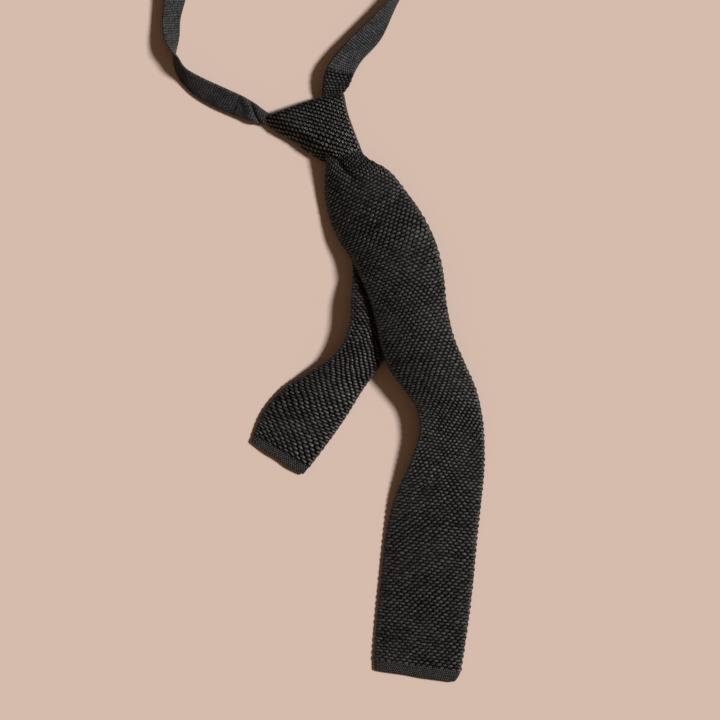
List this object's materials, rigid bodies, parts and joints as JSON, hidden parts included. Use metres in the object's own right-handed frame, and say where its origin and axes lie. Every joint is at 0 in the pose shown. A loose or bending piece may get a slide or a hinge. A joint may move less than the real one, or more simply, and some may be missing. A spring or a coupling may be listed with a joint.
{
  "type": "necktie",
  "caption": "Knitted square-ended necktie tied in a four-in-hand knot, laid flat, with a neck loop, a wide blade and a narrow tail.",
  "frame": {"origin": "centre of the knot's flat back, on the surface that the tie lies on", "axes": "+Y from the knot towards the neck loop, +Z away from the surface, towards the knot's face, +X to the right seen from above"},
  "size_m": [0.2198, 0.5841, 0.0216],
  "materials": {
    "knit": "coarse matt knit in near-black charcoal yarn, staggered stitches",
    "rib": "finer ribbed knit hem",
    "neck_knit": "fine smooth knit, slightly lighter and cooler",
    "thread": "black sewing thread",
    "label": "plain woven label, no text"
  },
  "bodies": {
    "knot": {"knot_riser": "knit", "knot_back_wrap": "knit", "knot_cross_over": "knit", "knot_pull_through": "knit", "knot_front_wrap": "knit"},
    "wide_end": {"front_blade": "knit", "front_hem": "rib", "keeper_loop": "knit", "keeper_tack_left": "thread", "keeper_tack_right": "thread"},
    "narrow_strand": {"tail_strand": "knit"},
    "narrow_end": {"tail_blade": "knit", "tail_hem": "rib", "plain_label": "label"},
    "neck_roots": {"neck_root_left": "neck_knit", "neck_root_right": "knit"},
    "neck_band": {"neck_band_left": "neck_knit", "neck_band_right": "neck_knit", "neck_join_seam": "thread"}
  },
  "joints": [
    {"name": "wide_end_lift", "type": "hinge", "parent": "knot", "child": "wide_end", "pos_m": [0.0175, -0.0246, 0.0124], "axis": [-0.9874, -0.158, 0], "range_deg": [0, 85]},
    {"name": "tail_pull", "type": "slide", "parent": "knot", "child": "narrow_strand", "axis": [0.22, -0.9755, 0], "range_m": [0, 0.016]},
    {"name": "tail_swing", "type": "hinge", "parent": "narrow_strand", "child": "narrow_end", "pos_m": [0.024, -0.031, 0.005], "axis": [0, 0, 1], "range_deg": [-15, 8]},
    {"name": "neck_lift", "type": "hinge", "parent": "knot", "child": "neck_roots", "pos_m": [-0.01, 0.0166, 0.007], "axis": [0.9404, 0.34, 0], "range_deg": [0, 75]},
    {"name": "neck_draw", "type": "slide", "parent": "neck_roots", "child": "neck_band", "axis": [0, -1, 0], "range_m": [0, 0.008]}
  ],
  "couplings": [
    {"joint": "neck_draw", "follows": "tail_pull", "ratio": 0.5}
  ]
}
